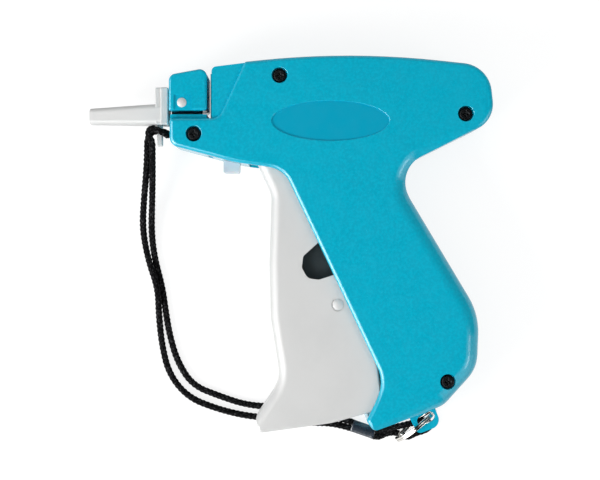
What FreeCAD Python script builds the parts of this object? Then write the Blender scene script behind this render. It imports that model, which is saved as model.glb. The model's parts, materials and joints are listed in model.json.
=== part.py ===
import FreeCAD, Part

"""Garment tag attacher, lying on its right side.

+Z is up from the table, the nose points along -X and the top of the body along +Y.
All lengths are in millimetres and all angles in degrees.
"""

import math
import os

# ---- Driving dimensions: body ----
THICKNESS = 28.0          # across both half shells
WALL = 2.4
EDGE_ROUND = 1.6          # outer edges of the shells
GRIP_ROUND = 6.5          # outer edges down the back of the grip
FIT = 0.15                # gap between moulded pieces that stay together
RUN = 0.4                 # gap between pieces that move past each other
PIN_FIT = 0.06            # radial clearance of a pin in its hole

# ---- Driving dimensions: working line and mechanism ----
NEEDLE_Y = 53.6           # height of the needle's axis
NEEDLE_R = 1.15
NEEDLE_BORE_R = 0.85
NEEDLE_SLOT = 0.5
ROD_R = 0.6
ROD_GAP = 0.2             # between the rod and the pieces just under it
NEEDLE_TIP_X = -76.5
STROKE = 46.8             # travel of the push rod
TRIGGER_PIVOT = (-1.0, 33.4)
TRIGGER_SWING = 12.0
LEVER_PIVOT = (22.5, -5.0)
LEVER_SWING = 43.5        # while the trigger makes its swing
LEVER_THICK = 4.0
LINK = (19.1, -22.6)      # link pin in the trigger, trigger released
LINK_R = 2.3
WHEEL_TEETH = 12
WHEEL_R = 5.3
WHEEL_THICK = 4.0
TOOTH_DEPTH = 1.2
TOOTH_ROOT = 0.3          # how far a tooth is rooted in the wheel
SLOT_X = (-33.5, -31.7)   # the gap that the clip of tags slides down
CORD_D = 2.6

# ---- Values worked out from them ----
MID = THICKNESS / 2
FAR = -100.0

# Body outline, clockwise from the lower jaw of the nose: x, y, corner radius
JAW_TOP = 52.3
BODY = [
    (-48.5, JAW_TOP, 0.8),
    (-28.9, JAW_TOP, 5.0),
    (-18.4, 74.9, 1.6),
    (24.0, 79.2, 340.0),
    (79.6, 73.3, 12.4),
    (82.0, 51.5, 11.0),
    (41.5, 31.5, 11.3),
    (76.2, -26.6, 28.0),
    (75.3, -48.4, 15.0),
    (62.0, -63.2, 11.0),
    (33.5, -73.4, 2.4),
    (30.4, -69.2, 1.6),
    (34.7, -60.4, 20.0),
    (37.2, -52.7, 13.0),
    (-2.9, 31.9, 11.0),
    (-22.0, 34.5, 60.0),
    (-48.5, 41.6, 4.0),
]


# ---- Body shells ----
# The rounding down the back of the grip: follows the body there and stands off elsewhere
GRIP_FORM = [
    (-80.0, 110.0, 0),
    (110.0, 110.0, 0),
    (110.0, 56.0, 0),
    (41.5, 31.5, 11.3),
    (76.2, -26.6, 28.0),
    (75.3, -48.4, 15.0),
    (62.0, -63.2, 11.0),
    (-20.0, -101.0, 0),
    (-80.0, -101.0, 0),
]
SCREWS = [(-4.4, 69.4), (-38.8, 46.0), (70.2, 54.0), (63.0, -53.4)]
SCREW_HEAD_R = 2.75
SCREW_R = 1.3
SCREW_RECESS_R = 3.15
SCREW_RECESS = 1.0        # depth of the head's top below the face
SCREW_HEAD = 1.8
SCREW_TIP = 6.0
SCREW_HEAD_ROUND = 0.5
RIM_ROUND = 0.25          # mouths of the screw recesses and of the label field
SCREW_CROSS = (1.6, 0.35)  # half length and half width of the driver's cross
SCREW_CROSS_DEPTH = 1.1
BOSS_R = 3.5
LABEL = (16.0, 51.2, 23.6, 8.0)   # oval field: centre x, y, half width, half height
LABEL_DEPTH = 0.5
EAR_Z = (17.2, 18.9)
EAR = [(46.5, -65.5, 0), (57.3, -61.5, 0), (61.3, -71.8, 3.8), (51.7, -75.4, 2.0)]
EAR_HOLE = (54.9, -69.13, 3.82, 2.0, 28.7)  # centre x, y, half length, half width, turn
TRIGGER_DOOR = [
    (-17.0, 5.0, 0),
    (-17.0, 37.4, 0),
    (9.0, 37.4, 0),
    (12.0, 14.0, 0),
    (44.5, -52.0, 0),
    (42.0, -63.6, 0),
    (36.0, -66.2, 0),
    (30.0, -68.0, 0),
    (15.0, -69.5, 0),
]
BUTTON = (-27.3, -20.7)   # the release button's two sides along X
BUTTON_Z = (10.0, 18.0)
BUTTON_TRAVEL = 2.0
CLIP_Z = (7.0, 21.0)      # width of the clip of tags
WHEEL_AXIS = (SLOT_X[1] - 0.5 + WHEEL_R, NEEDLE_Y - ROD_R - ROD_GAP - WHEEL_R)
PIN_HOLE_END = 1.0        # skin left outside a blind pin hole
AXLE_R = 2.2
PIVOT_PIN_R = 2.0
FEED_AXLE_R = 1.2
SLIDE_HALF = 4.0          # half the height of the pusher slide
SLIDE_Z = (8.0, 20.0)
BED_Y = (JAW_TOP - WALL, NEEDLE_Y + 0.3)
BED_X = (-48.4, SLOT_X[0] - 0.2)
RAIL_X = (-14.0, 60.0)
RAIL = 1.6                # thickness of a rail and of the spring's rib
RAIL_LAP = 3.0            # how far a rail overlaps the slide along Z
# ---- Nose: cover, bed, needle, cap ----
BLOCK_Z = (1.4, THICKNESS - 1.4)  # the nose blocks lie a little inside the shells' faces
COVER_X = (-48.9, SLOT_X[0] - 0.1)
COVER_BASE = NEEDLE_Y + 1.8
COVER_TOP = (69.8, 72.6)
COVER_CORNER = 2.9
COVER_EDGE = 1.0          # rounding along the cover's two side faces
COVER_PIN = (-43.7, 58.6)
COVER_PIN_R = 1.9
COVER_PIN_PROUD = 0.1     # how far its ends stand out of the cover
COVER_PIN_ROUND = 0.4
PANEL_INSET = 2.0         # the shallow square panel round the cover's pin
PANEL_SIZE = (7.1, 6.2)
PANEL_DEPTH = 0.6
HUB_R = 2.2
HUB_X = (-48.6, -36.0)
BLADE_X = (-36.0, -34.4)
BLADE_HALF = 0.6          # half its thickness
BLADE_SLANT = 0.7
GUIDE_TOP = (72.8, 74.6)
GUIDE_CORNER = 2.0
SLOT_FLOOR = 3.2          # thickness of the wall that closes the slot towards the table
SLOT_FLOOR_TOP = 72.4
CAP_TIP_X = -82.1
CAP_TIP = (50.4, 57.0, 3.2, 1.9)    # y from and to, half width, corner
CAP_ROOT_TOP = 58.8
CAP_ROOT = (6.5, 2.0)     # half width, corner
CAP_JOIN_X = -54.9        # front of the flange
CAP_STEP_X = -52.7        # where the flange steps out past the tapered body
CAP_MOUTH_X = -49.6
CAP_BASE_Y = 50.2
CAP_FLANGE_TOP = 65.2
CAP_FLANGE_HALF = (6.2, 7.2)        # half width ahead of the step and behind it
CAP_BORE_R = 1.6
CAP_END_WALL = 2.0        # left closed ahead of the needle's point
CAP_POST_X = (-54.6, -52.3)
CAP_POST_HALF = 1.7
CAP_POST_Y = 41.7
CAP_ROUNDS = (0.8, 0.5, 0.5)  # edges of the tip, the flange and the post
# ---- Drive: trigger, lever, slide, rod, feed wheel ----
TRIGGER_WALL = 2.0
TRIGGER_RUN = 0.5         # gap between the trigger and each shell
TRIGGER_Z = (WALL + TRIGGER_RUN, THICKNESS - WALL - TRIGGER_RUN)
TRIGGER_BOSS_R = 5.0
TRIGGER_BOSS = 3.0        # length of the bosses inside its walls
TRIGGER_OPEN = (3.5, 0.4)  # one step of the hollow out through the side towards the handle
LEVER_NOTCH = (-2.0, 20.0, 3.0, 20.0)  # from the pivot: where the lever's upper arm passes
LINK_RECESS = 0.4         # depth and width of the rim round the link pin
TRIGGER_ROUND = 3.6
TRIGGER_EDGE = 1.0
TRIGGER = [
    (-16.4, 34.0, 1.5),
    (-12.6, 32.2, 2.0),
    (-7.7, 21.5, 9.0),
    (-8.5, -6.0, 60.0),
    (-8.0, -28.0, 40.0),
    (-3.9, -53.5, 16.0),
    (-14.0, -68.4, 1.5),
    (-12.7, -74.3, 1.6),
    (16.5, -70.3, 30.0),
    (33.6, -65.6, 1.5),
    (36.5, -58.0, 3.0),
    (31.0, -15.0, 30.0),
    (28.0, 3.0, 6.0),
    (10.0, 24.0, 12.0),
    (5.0, 39.6, 3.0),
    (-12.6, 38.8, 3.0),
]
# The rounding down the trigger's front: follows it there and stands off elsewhere
TRIGGER_FORM = [
    (-21.2, 50.9, 0),
    (-7.7, 21.5, 9.0),
    (-8.5, -6.0, 60.0),
    (-8.0, -28.0, 40.0),
    (-3.9, -53.5, 16.0),
    (-23.6, -82.5, 0),
    (90.0, -82.5, 0),
    (90.0, 50.9, 0),
]
WINDOW = [
    (11.4, 2.6, 1.0),
    (5.1, -3.1, 2.0),
    (4.5, -7.8, 2.6),
    (6.9, -12.0, 3.0),
    (11.5, -12.6, 3.5),
    (36.0, -4.5, 0),
    (36.0, 3.4, 0),
]
LEVER_DISC_R = 17.5       # the web round the lever's hub
SLIDE_PIN = (LEVER_PIVOT[0] + STROKE / 2, NEEDLE_Y)
SLIDE_PIN_R = 1.5
SLIDE_X = (-9.0, 6.0)     # ends of the slide, from its pin
SLIDE_WEB = 2.8           # the slide's solid front, ahead of the fork
SLIDE_ROUND = 0.6
ARM_RIM = (2.0, 1.8)      # wall round the lever's slots, at the link and at the slide
LEVER_HUB_R = 4.6
LEVER_HUB_RISE = 2.0      # how far the hub stands out of the lever's sides
ROD_TIP_X = SLOT_X[1] + 0.5
PAWL_PIVOT = (-15.6, 43.6)
PAWL_PIN_R = 1.0
PAWL_TIP = (WHEEL_AXIS[0] + WHEEL_R + 0.25, WHEEL_AXIS[1] - 1.2)
PAWL_BODY_R = 2.1         # its rounded end, about its pivot
PAWL_HALF = 1.2           # half its thickness
PAWL_HUB = (1.9, 2.2)     # radius and half length
SPRING_WIRE_R = 0.35
BUTTON_FACE = 30.6        # where a finger presses it
BUTTON_FLANGE = (38.9, 40.1)
BUTTON_FLANGE_LAP = 1.0   # how far the flange reaches past the button along X
BUTTON_FLANGE_Z = (8.5, 22.6)
BUTTON_ROUND = 0.8
BUTTON_SPRING = (-22.6, 20.6)   # its spring's place along X and Z
SPRING_REST_Y = 45.4      # the rib that the spring stands against
RIB_HALF = 2.0
BUTTON_COIL = (3, 1.4)    # turns and mean radius
TRIGGER_COIL = (6, 1.1, PIVOT_PIN_R + 1.0)  # turns, pitch and mean radius
# ---- Ring and lanyard ----
RING_R = 9.75             # to the middle of its wire
RING_RADIAL = 1.3
RING_AXIAL = 1.8
RING_ROUND = 0.35
RING_GROOVE = (0.12, 0.3)  # width and depth of the line between the two coils
RING_HOOK = (56.22, -68.72)  # where it passes through the ear
RING_TURN = 38.7          # direction of the ring's plane seen from above
SLEEVE_CENTRE = (30.2, -75.6)
SLEEVE_TURN = -19.0
SLEEVE_SIZE = (10.0, 5.3, 2.9)
SLEEVE_ROUND = 1.1
CORD_LANE = 1.32          # half the distance between the two cords in the sleeve
CORD_Z = CORD_D / 2 + 0.01
SLEEVE_Z = SLEEVE_SIZE[2] / 2


def vec(x, y, z=0.0):
    return FreeCAD.Vector(x, y, z)


def rounded_wire(corners, z=0.0):
    """A closed wire of straight lines and tangent arcs through rounded corners."""
    cuts = []
    count = len(corners)
    for i, (x, y, radius) in enumerate(corners):
        here = vec(x, y, z)
        before = vec(*corners[i - 1][:2], z) - here
        after = vec(*corners[(i + 1) % count][:2], z) - here
        before.normalize()
        after.normalize()
        if radius <= 0:
            cuts.append((here, None, here))
            continue
        half = before.getAngle(after) / 2
        reach = radius / math.tan(half)
        inward = before + after
        inward.normalize()
        middle = here + inward * (radius / math.sin(half) - radius)
        cuts.append((here + before * reach, middle, here + after * reach))
    edges = []
    for i, (start, middle, end) in enumerate(cuts):
        if middle is not None:
            edges.append(Part.Arc(start, middle, end).toShape())
        following = cuts[(i + 1) % count][0]
        if end.distanceToPoint(following) > 1e-6:
            edges.append(Part.LineSegment(end, following).toShape())
    return Part.Wire(edges)


def prism(corners, z0, z1):
    """A plate of the given outline between two heights."""
    return Part.Face(rounded_wire(corners, z0)).extrude(vec(0, 0, z1 - z0))


def inset_prism(corners, inset, z0, z1):
    """The same plate with its outline moved inwards."""
    wire = rounded_wire(corners, z0).makeOffset2D(-inset)
    return Part.Face(wire).extrude(vec(0, 0, z1 - z0))


def box(x0, x1, y0, y1, z0, z1):
    return Part.makeBox(x1 - x0, y1 - y0, z1 - z0, vec(x0, y0, z0))


def post(x, y, z0, z1, radius):
    """A round bar along Z."""
    return Part.makeCylinder(radius, z1 - z0, vec(x, y, z0))


def bar_x(x0, x1, y, z, radius):
    """A round bar along X."""
    return Part.makeCylinder(radius, x1 - x0, vec(x0, y, z), vec(1, 0, 0))


def save(name, shape):
    """One STEP file for a named piece."""
    solids = shape.Solids
    kept = solids[0] if len(solids) == 1 else Part.makeCompound(solids)
    kept.exportStep(f"parts/{name}.step")
    print(name, len(solids), round(kept.Volume, 1), kept.isValid())


def round_edges(solid, radius, wanted):
    """Rounds the edges that the test picks."""
    edges = [e for e in solid.Edges if wanted(e)]
    return solid.makeFillet(radius, edges)


def lies_at(edge, z):
    return abs(edge.BoundBox.ZMin - z) < 1e-4 and abs(edge.BoundBox.ZMax - z) < 1e-4


def grip_form(inset, z0, z1, radius):
    """A block that only shapes the back of the grip, its long edges rounded."""
    solid = inset_prism(GRIP_FORM, inset, z0, z1) if inset else prism(GRIP_FORM, z0, z1)
    return round_edges(
        solid,
        radius,
        lambda e: (lies_at(e, z0) or lies_at(e, z1)) and e.CenterOfMass.y < 80 and e.CenterOfMass.x > 0,
    )


def ellipse_prism(x, y, a, b, z0, z1, turn=0.0):
    ellipse = Part.Ellipse(vec(0, 0, z0), a, b).toShape()
    face = Part.Face(Part.Wire([ellipse]))
    solid = face.extrude(vec(0, 0, z1 - z0))
    solid.rotate(vec(0, 0), vec(0, 0, 1), turn)
    solid.translate(vec(x, y))
    return solid


def slot_prism(x, y, half_length, half_width, z0, z1, turn):
    """A round-ended slot."""
    flat = half_length - half_width
    solid = box(-flat, flat, -half_width, half_width, z0, z1)
    for end in (-flat, flat):
        solid = solid.fuse(post(end, 0, z0, z1, half_width))
    solid = solid.removeSplitter()
    solid.rotate(vec(0, 0), vec(0, 0, 1), turn)
    solid.translate(vec(x, y))
    return solid


def body_block():
    """Both shells as one hollow block, before it is parted at mid-thickness."""
    outer = round_edges(
        prism(BODY, 0, THICKNESS), EDGE_ROUND, lambda e: lies_at(e, 0) or lies_at(e, THICKNESS)
    )
    outer = outer.common(grip_form(0, 0, THICKNESS, GRIP_ROUND))
    inner_z = (WALL, THICKNESS - WALL)
    cavity = inset_prism(BODY, WALL, *inner_z)
    cavity = cavity.common(grip_form(WALL, *inner_z, GRIP_ROUND - WALL))
    block = outer.cut(cavity)
    block = block.cut(prism(TRIGGER_DOOR, *inner_z))
    return block, cavity


def add_bosses(block, cavity):
    """Screw posts, slide rails and their holes."""
    adds = [post(x, y, WALL / 2, THICKNESS - WALL / 2, BOSS_R) for x, y in SCREWS]
    for side in (-1, 1):
        edge = NEEDLE_Y + side * (SLIDE_HALF + RUN / 2)
        low, high = sorted((edge, edge + side * RAIL))
        adds.append(box(*RAIL_X, low, high, WALL / 2, SLIDE_Z[0] + RAIL_LAP))
        adds.append(box(*RAIL_X, low, high, SLIDE_Z[1] - RAIL_LAP, THICKNESS - WALL / 2))
    spring_x, spring_z = BUTTON_SPRING
    rib = box(
        spring_x - RIB_HALF, spring_x + RIB_HALF, SPRING_REST_Y, SPRING_REST_Y + RAIL,
        spring_z - RIB_HALF, THICKNESS - WALL / 2,
    )
    adds.append(rib)
    grown = cavity.fuse(block)
    for piece in adds:
        block = block.fuse(piece.common(grown))
    return block


def drill_body(block):
    """Holes, slots and recesses that go into both shells."""
    top = THICKNESS
    pins = [
        (*TRIGGER_PIVOT, PIVOT_PIN_R),
        (*LEVER_PIVOT, AXLE_R),
        (*WHEEL_AXIS, FEED_AXLE_R),
        (*PAWL_PIVOT, PAWL_PIN_R),
    ]
    cuts = [post(x, y, PIN_HOLE_END, top - PIN_HOLE_END, r) for x, y, r in pins]
    for x, y in SCREWS:
        head_top = top - SCREW_RECESS
        cuts.append(post(x, y, head_top - SCREW_HEAD, top + 1, SCREW_RECESS_R))
        cuts.append(post(x, y, MID, top, SCREW_R + PIN_FIT))
        cuts.append(post(x, y, SCREW_TIP, MID, SCREW_R))
    cuts.append(box(*SLOT_X, BUTTON_FACE - 5, JAW_TOP + 1, *CLIP_Z))
    gap = FIT
    cuts.append(
        box(
            BUTTON[0] - gap, BUTTON[1] + gap, BUTTON_FACE - 1, BUTTON_FLANGE[0],
            BUTTON_Z[0] - gap, BUTTON_Z[1] + gap,
        )
    )
    cuts.append(
        box(BED_X[0] - gap, SLOT_X[0], BED_Y[0], JAW_TOP + 1, WALL, THICKNESS - WALL)
    )
    thick = WHEEL_THICK / 2 + RUN
    cuts.append(post(*WHEEL_AXIS, MID - thick, MID + thick, WHEEL_R + RUN))
    cuts.append(bar_x(HUB_X[1] - 2, RAIL_X[0] + 1, NEEDLE_Y, MID, ROD_R + RUN))
    for piece in cuts:
        block = block.cut(piece)
    return block


def shells():
    block, cavity = body_block()
    block = drill_body(add_bosses(block, cavity))
    right = block.common(box(FAR, -FAR, FAR, -FAR, -1, MID))
    left = block.common(box(FAR, -FAR, FAR, -FAR, MID, THICKNESS + 1))
    x, y, a, b = LABEL
    left = left.cut(ellipse_prism(x, y, a, b, THICKNESS - LABEL_DEPTH, THICKNESS + 1))
    left = round_edges(left, RIM_ROUND, lambda e: lies_at(e, THICKNESS) and e.isClosed())
    left = left.fuse(prism(EAR, *EAR_Z).cut(cavity))
    left = left.cut(slot_prism(*EAR_HOLE[:4], EAR_Z[0] - 1, EAR_Z[1] + 1, EAR_HOLE[4]))
    return left, right


def case_screws():
    """Four cross-head screws, driven from the left side."""
    top = THICKNESS - SCREW_RECESS
    screws = []
    for x, y in SCREWS:
        screw = post(x, y, top - SCREW_HEAD, top, SCREW_HEAD_R)
        screw = round_edges(screw, SCREW_HEAD_ROUND, lambda e: lies_at(e, top))
        screw = screw.fuse(post(x, y, SCREW_TIP, top - SCREW_HEAD, SCREW_R))
        arm, half = SCREW_CROSS
        for half_x, half_y in ((arm, half), (half, arm)):
            cross = box(
                x - half_x, x + half_x, y - half_y, y + half_y, top - SCREW_CROSS_DEPTH, top + 1
            )
            screw = screw.cut(cross)
        screws.append(screw)
    return Part.makeCompound(screws)


def nose_cover():
    """The block that lifts off the needle; its underside is grooved for the needle's hub."""
    outline = [
        (COVER_X[0], COVER_BASE, 0.5),
        (COVER_X[0], COVER_TOP[0], COVER_CORNER),
        (COVER_X[1], COVER_TOP[1], COVER_CORNER),
        (COVER_X[1], COVER_BASE, 1.2),
    ]
    cover = prism(outline, *BLOCK_Z)
    ends = (lambda e: lies_at(e, BLOCK_Z[0]) or lies_at(e, BLOCK_Z[1]))
    cover = round_edges(cover, COVER_EDGE, ends)
    cover = cover.cut(bar_x(HUB_X[0] - 5, COVER_X[1] + 1, NEEDLE_Y, MID, HUB_R + FIT))
    groove = NEEDLE_R + FIT
    cover = cover.cut(
        box(COVER_X[0] - 1, COVER_X[1] + 1, COVER_BASE - 3, NEEDLE_Y, MID - groove, MID + groove)
    )
    panel_x = COVER_X[0] + PANEL_INSET
    panel_top = COVER_BASE + PANEL_SIZE[1]
    for z0, z1 in ((BLOCK_Z[1] - PANEL_DEPTH, THICKNESS), (0, BLOCK_Z[0] + PANEL_DEPTH)):
        panel = box(panel_x, panel_x + PANEL_SIZE[0], COVER_BASE - 1, panel_top, z0, z1)
        cover = cover.cut(panel)
    return cover.cut(post(*COVER_PIN, 0, THICKNESS, COVER_PIN_R))


def cover_pin():
    """The white cross pin of the nose cover."""
    ends = (BLOCK_Z[0] - COVER_PIN_PROUD, BLOCK_Z[1] + COVER_PIN_PROUD)
    pin = post(*COVER_PIN, *ends, COVER_PIN_R)
    pin = round_edges(pin, COVER_PIN_ROUND, lambda e: lies_at(e, ends[0]) or lies_at(e, ends[1]))
    return pin.cut(bar_x(HUB_X[0], COVER_X[1], NEEDLE_Y, MID, HUB_R + FIT))


def needle_bed():
    """The strip on the jaw that carries the needle's hub and the blade."""
    bed = box(*BED_X, *BED_Y, WALL + FIT, THICKNESS - WALL - FIT)
    bed = bed.cut(bar_x(BED_X[0] - 1, BED_X[1] + 1, NEEDLE_Y, MID, HUB_R))
    return bed.cut(box(BED_X[0] - 1, BED_X[1] + 1, NEEDLE_Y, NEEDLE_Y + 3, MID - HUB_R, MID + HUB_R))


def needle():
    """A slotted steel tube with a slanted point."""
    tube = bar_x(NEEDLE_TIP_X, HUB_X[1], NEEDLE_Y, MID, NEEDLE_R)
    tube = tube.cut(bar_x(NEEDLE_TIP_X - 1, HUB_X[1] + 1, NEEDLE_Y, MID, NEEDLE_BORE_R))
    half = NEEDLE_SLOT / 2
    tube = tube.cut(
        box(NEEDLE_TIP_X - 1, HUB_X[1] + 1, NEEDLE_Y - 3, NEEDLE_Y, MID - half, MID + half)
    )
    wedge = [
        (NEEDLE_TIP_X - 1, NEEDLE_Y + 3, 0),
        (NEEDLE_TIP_X + 6, NEEDLE_Y + NEEDLE_R, 0),
        (NEEDLE_TIP_X, NEEDLE_Y - NEEDLE_R, 0),
        (NEEDLE_TIP_X - 1, NEEDLE_Y - 3, 0),
    ]
    return tube.cut(prism(wedge, MID - 4, MID + 4))


def needle_hub():
    """The plastic base moulded round the needle."""
    hub = bar_x(*HUB_X, NEEDLE_Y, MID, HUB_R)
    hub = hub.cut(bar_x(HUB_X[0] - 1, HUB_X[1] + 1, NEEDLE_Y, MID, NEEDLE_R))
    half = NEEDLE_SLOT / 2
    return hub.cut(box(HUB_X[0] - 1, HUB_X[1] + 1, NEEDLE_Y - 4, NEEDLE_Y, MID - half, MID + half))


def cutter_blade():
    """The small blade behind the hub that parts each tag from its clip."""
    low = NEEDLE_Y - math.sqrt(HUB_R ** 2 - BLADE_HALF ** 2) + 0.01
    blade = [
        (BLADE_X[0], low, 0),
        (BLADE_X[0], NEEDLE_Y - ROD_R - ROD_GAP, 0),
        (BLADE_X[1] - BLADE_SLANT, NEEDLE_Y - ROD_R - ROD_GAP, 0),
        (BLADE_X[1], NEEDLE_Y - ROD_R - ROD_GAP - BLADE_SLANT, 0),
        (BLADE_X[1], low, 0),
    ]
    return prism(blade, MID - BLADE_HALF, MID + BLADE_HALF)


def magazine_guide():
    """The block behind the slot; it fills the shells' slanted cut-out."""
    front = SLOT_X[1]
    outline = [
        (front, JAW_TOP + FIT, 0.2),
        (front, GUIDE_TOP[0], GUIDE_CORNER),
        (BODY[2][0] + 1, GUIDE_TOP[1], 0.2),
        (BODY[2][0] + 1, JAW_TOP + FIT, 0.2),
    ]
    guide = prism(outline, *BLOCK_Z).cut(prism(BODY, -1, THICKNESS + 1))
    floor = box(
        SLOT_X[0] + FIT, front + 1, JAW_TOP + FIT, SLOT_FLOOR_TOP,
        BLOCK_Z[0], BLOCK_Z[0] + SLOT_FLOOR,
    )
    guide = guide.fuse(floor.cut(prism(BODY, -1, THICKNESS + 1))).removeSplitter()
    return guide.cut(bar_x(front - 1, 0, NEEDLE_Y, MID, ROD_R + RUN))


def square_section(x, y0, y1, half, corner):
    """A rounded rectangle across X, as a wire for lofting."""
    corners = [(y0, MID - half), (y1, MID - half), (y1, MID + half), (y0, MID + half)]
    wire = rounded_wire([(y, z, corner) for y, z in corners])
    upright = wire.copy()
    upright.transformShape(FreeCAD.Matrix(0, 0, 1, x, 1, 0, 0, 0, 0, 1, 0, 0, 0, 0, 0, 1))
    return upright


def needle_cap():
    """The cover for the needle's point, with a flange and a post for the lanyard."""
    tip = square_section(CAP_TIP_X, *CAP_TIP)
    base = square_section(CAP_STEP_X + 0.5, CAP_BASE_Y, CAP_ROOT_TOP, *CAP_ROOT)
    cap = Part.makeLoft([tip, base], True)
    cap = round_edges(cap, CAP_ROUNDS[0], lambda e: e.BoundBox.XMax < CAP_TIP_X + 0.01)
    for half, front in zip(CAP_FLANGE_HALF, (CAP_JOIN_X, CAP_STEP_X)):
        flange = box(front, CAP_MOUTH_X, CAP_BASE_Y, CAP_FLANGE_TOP, MID - half, MID + half)
        cap = cap.fuse(round_edges(flange, CAP_ROUNDS[1], lambda e: True))
    stem = box(
        *CAP_POST_X, CAP_POST_Y, CAP_BASE_Y + 1, MID - CAP_POST_HALF, MID + CAP_POST_HALF
    )
    stem = round_edges(
        stem, CAP_ROUNDS[2],
        lambda e: e.BoundBox.YMax < CAP_BASE_Y + 0.9 or e.BoundBox.YLength > 4,
    )
    return cap.fuse(stem).cut(bar_x(CAP_TIP_X + CAP_END_WALL, CAP_MOUTH_X + 1, NEEDLE_Y, MID, CAP_BORE_R))


def trigger():
    """A hollow trigger, open towards the handle."""
    def is_rim(edge):
        return lies_at(edge, TRIGGER_Z[0]) or lies_at(edge, TRIGGER_Z[1])

    solid = round_edges(prism(TRIGGER, *TRIGGER_Z), TRIGGER_EDGE, is_rim)
    form = prism(TRIGGER_FORM, *TRIGGER_Z)
    form = round_edges(form, TRIGGER_ROUND, lambda e: is_rim(e) and e.CenterOfMass.x < 20)
    solid = solid.common(form)
    hollow_z = (TRIGGER_Z[0] + TRIGGER_WALL, TRIGGER_Z[1] - TRIGGER_WALL)
    hollow = inset_prism(TRIGGER, TRIGGER_WALL, *hollow_z)
    back = hollow.copy()
    for _ in range(2):
        back.translate(vec(*TRIGGER_OPEN))
        hollow = hollow.fuse(back)
    solid = solid.cut(hollow)
    x, y = TRIGGER_PIVOT
    for z0, z1 in (
        (TRIGGER_Z[0], hollow_z[0] + TRIGGER_BOSS),
        (hollow_z[1] - TRIGGER_BOSS, TRIGGER_Z[1]),
    ):
        solid = solid.fuse(post(x, y, z0, z1, TRIGGER_BOSS_R))
    solid = solid.cut(post(x, y, 0, THICKNESS, PIVOT_PIN_R + PIN_FIT))
    notch = LEVER_THICK / 2 + 1
    x0, x1, y0, y1 = LEVER_NOTCH
    solid = solid.cut(box(x + x0, x + x1, y + y0, y + y1, MID - notch, MID + notch))
    solid = solid.cut(prism(WINDOW, MID, THICKNESS))
    solid = solid.cut(axle_path(0, MID))
    solid = solid.cut(post(*LINK, 0, THICKNESS, LINK_R))
    for z0, z1 in ((TRIGGER_Z[1] - LINK_RECESS, THICKNESS), (0, TRIGGER_Z[0] + LINK_RECESS)):
        solid = solid.cut(post(*LINK, z0, z1, LINK_R + LINK_RECESS))
    return solid


def axle_path(z0, z1):
    """The gap in the far wall that the lever's axle passes through as the trigger swings."""
    x, y = LEVER_PIVOT
    radius = AXLE_R + RUN
    path = post(x, y, z0, z1, radius)
    steps = 6
    for i in range(1, steps + 1):
        part = post(x, y, z0, z1, radius)
        part.rotate(vec(*TRIGGER_PIVOT), vec(0, 0, 1), -TRIGGER_SWING * 1.04 * i / steps)
        path = path.fuse(part)
    return path.fuse(box(x - 1, x + 20, y - radius, y + radius, z0, z1))


def link_pin():
    return post(*LINK, TRIGGER_Z[0] + 0.1, TRIGGER_Z[1] - 0.1, LINK_R)


def trigger_pivot_pin():
    return post(*TRIGGER_PIVOT, PIN_HOLE_END, THICKNESS - PIN_HOLE_END, PIVOT_PIN_R)


def lever_axle():
    return post(*LEVER_PIVOT, PIN_HOLE_END, THICKNESS - PIN_HOLE_END, AXLE_R)


def along(angle, distance):
    """A point that far from the lever's pivot."""
    turn = math.radians(angle)
    return (
        LEVER_PIVOT[0] + distance * math.cos(turn),
        LEVER_PIVOT[1] + distance * math.sin(turn),
    )


def turned(point, centre, angle):
    """A point turned about another, by an angle in degrees."""
    turn = math.radians(angle)
    dx, dy = point[0] - centre[0], point[1] - centre[1]
    return (
        centre[0] + dx * math.cos(turn) - dy * math.sin(turn),
        centre[1] + dx * math.sin(turn) + dy * math.cos(turn),
    )


def link_pin_at(pull):
    return turned(LINK, TRIGGER_PIVOT, TRIGGER_SWING * pull)


def slide_pin_at(pull):
    return (SLIDE_PIN[0] - STROKE * pull, SLIDE_PIN[1])


def pin_track(pin_at):
    """Direction of a pin's slot in the lever, its nearest and furthest reach, and how far it strays."""
    start = pin_at(0)
    rest = math.degrees(math.atan2(start[1] - LEVER_PIVOT[1], start[0] - LEVER_PIVOT[0]))
    reaches, drifts = [], []
    steps = 40
    for i in range(steps + 1):
        pull = i / steps
        x, y = turned(pin_at(pull), LEVER_PIVOT, -LEVER_SWING * pull - rest)
        reaches.append(x - LEVER_PIVOT[0])
        drifts.append(abs(y - LEVER_PIVOT[1]))
    return rest, min(reaches), max(reaches), max(drifts)


def slotted_arm(angle, near, far, slot_half, rim, z0, z1):
    """An arm from the pivot outwards and the slot near its end."""
    width = slot_half + rim
    middle = along(angle, (near + far) / 2)
    half = (far - near) / 2
    head = slot_prism(*middle, half + width, width, z0, z1, angle)
    slot = slot_prism(*middle, half + slot_half, slot_half, z0 - 1, z1 + 1, angle)
    root = [along(angle + 90, LEVER_HUB_R), along(angle - 90, LEVER_HUB_R)]
    tip_x, tip_y = middle
    side = math.radians(angle + 90)
    dx, dy = width * math.cos(side), width * math.sin(side)
    outline = [
        (*root[0], 0),
        (*root[1], 0),
        (tip_x - dx, tip_y - dy, 0),
        (tip_x + dx, tip_y + dy, 0),
    ]
    return prism(outline, z0, z1).fuse(head), slot


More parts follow.
